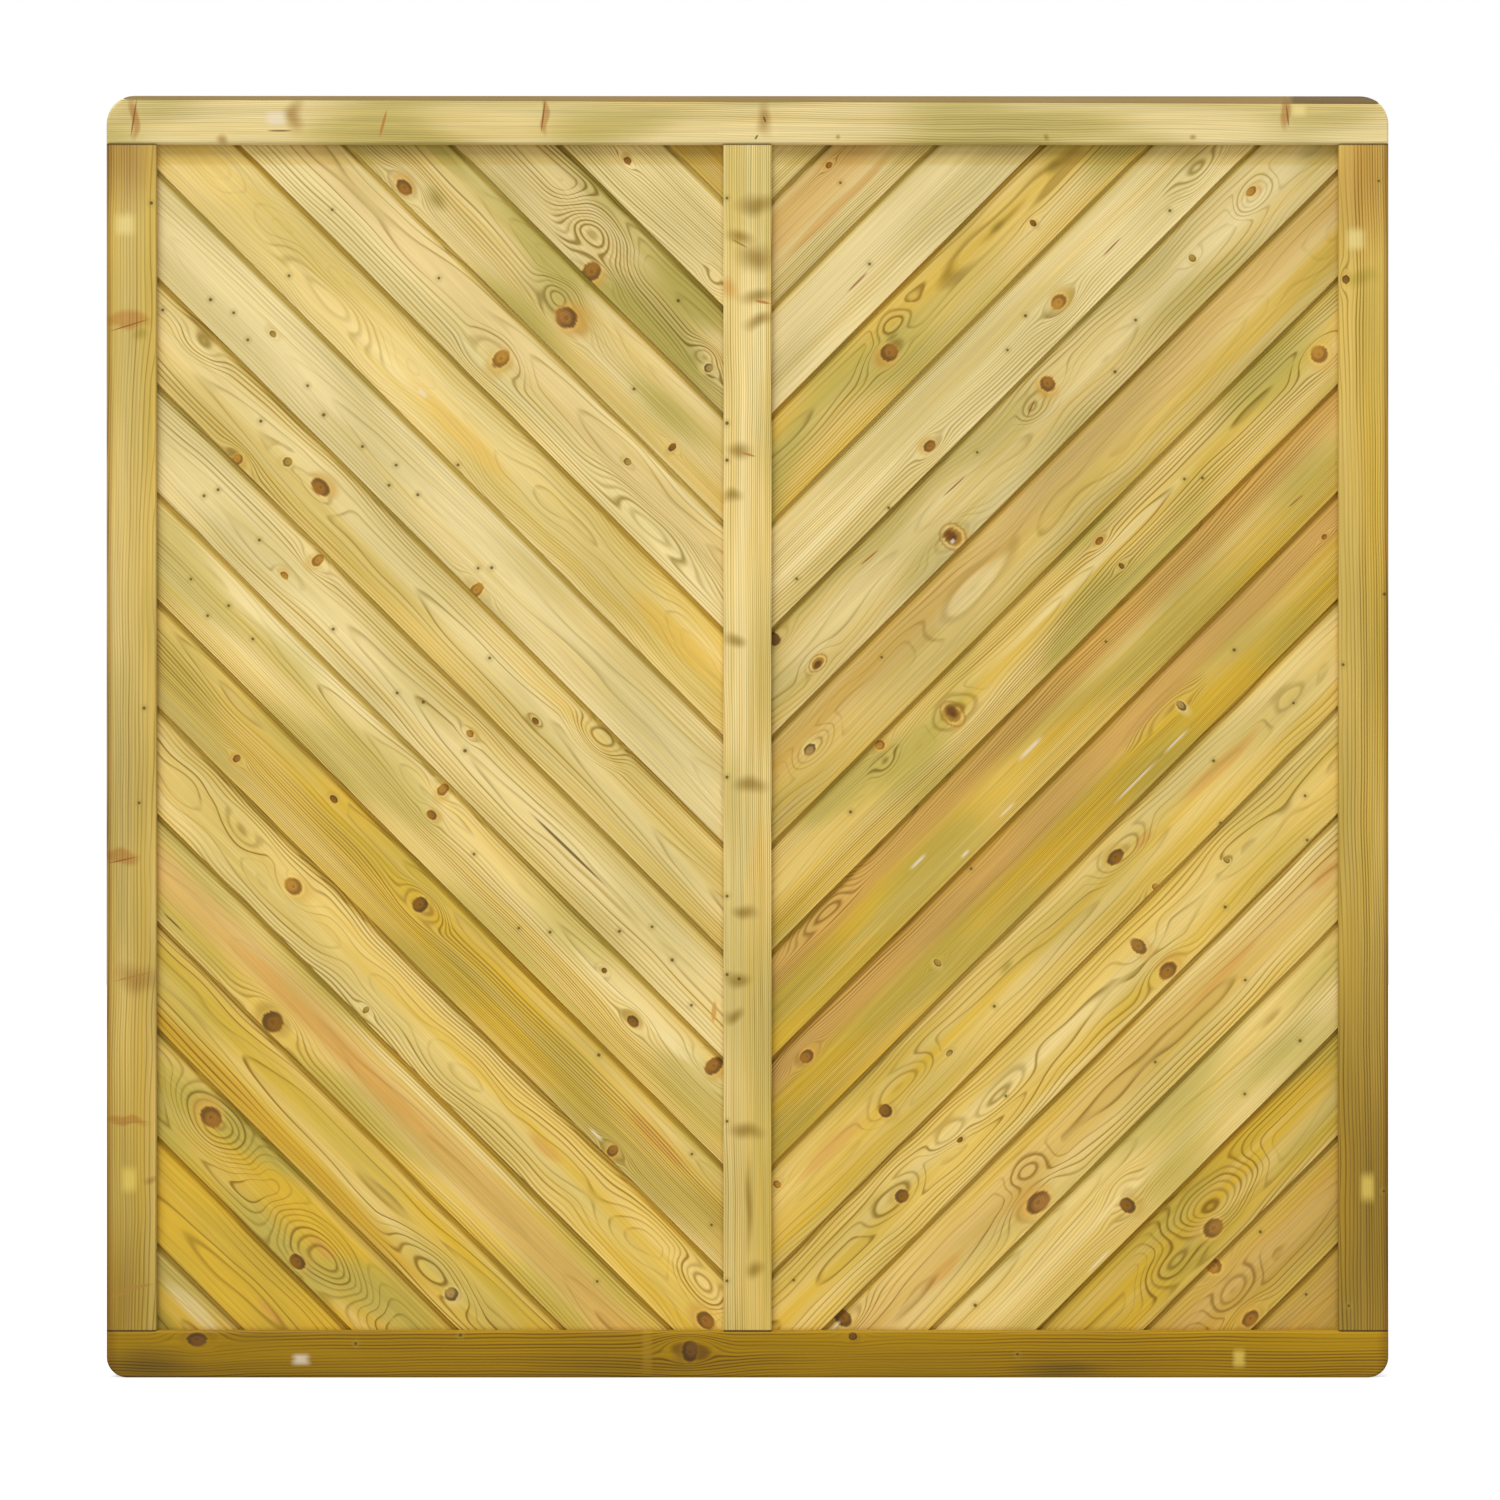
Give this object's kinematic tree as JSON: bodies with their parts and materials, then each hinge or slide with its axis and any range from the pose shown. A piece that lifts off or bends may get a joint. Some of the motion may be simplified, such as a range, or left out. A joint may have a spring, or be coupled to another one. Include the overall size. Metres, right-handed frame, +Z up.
{
  "type": "wooden fence panel",
  "caption": "Square fence panel: grooved timber frame with rounded corners, a middle upright and tongue-and-groove boards that slant down to it in a V, fixed between posts.",
  "frame": {"origin": "centre of the panel's lower edge, half-way through its depth", "axes": "+X along the fence to the right as seen from the front, +Y towards the back, +Z up"},
  "size_m": [1.8, 0.045, 1.8],
  "materials": {
    "top_rail_pine": "planed, pressure-treated, unpainted",
    "bottom_rail_pine": "planed, pressure-treated, unpainted",
    "stile_pine": "planed, pressure-treated, unpainted",
    "muntin_pine": "planed, pressure-treated, unpainted",
    "board_pine": "planed, pressure-treated, unpainted",
    "screw_steel": "zinc plated"
  },
  "bodies": {
    "root": {"bottom_rail": "bottom_rail_pine", "frame_screws": "screw_steel", "left_board_01": "board_pine", "left_board_02": "board_pine", "left_board_03": "board_pine", "left_board_04": "board_pine", "left_board_05": "board_pine", "left_board_06": "board_pine", "left_board_07": "board_pine", "left_board_08": "board_pine", "left_board_09": "board_pine", "left_board_10": "board_pine", "left_board_11": "board_pine", "left_board_12": "board_pine", "left_board_13": "board_pine", "left_board_14": "board_pine", "left_board_15": "board_pine", "left_board_16": "board_pine", "left_board_17": "board_pine", "left_stile": "stile_pine", "muntin": "muntin_pine", "right_board_01": "board_pine", "right_board_02": "board_pine", "right_board_03": "board_pine", "right_board_04": "board_pine", "right_board_05": "board_pine", "right_board_06": "board_pine", "right_board_07": "board_pine", "right_board_08": "board_pine", "right_board_09": "board_pine", "right_board_10": "board_pine", "right_board_11": "board_pine", "right_board_12": "board_pine", "right_board_13": "board_pine", "right_board_14": "board_pine", "right_board_15": "board_pine", "right_board_16": "board_pine", "right_board_17": "board_pine", "right_stile": "stile_pine", "top_rail": "top_rail_pine"}
  },
  "joints": []
}
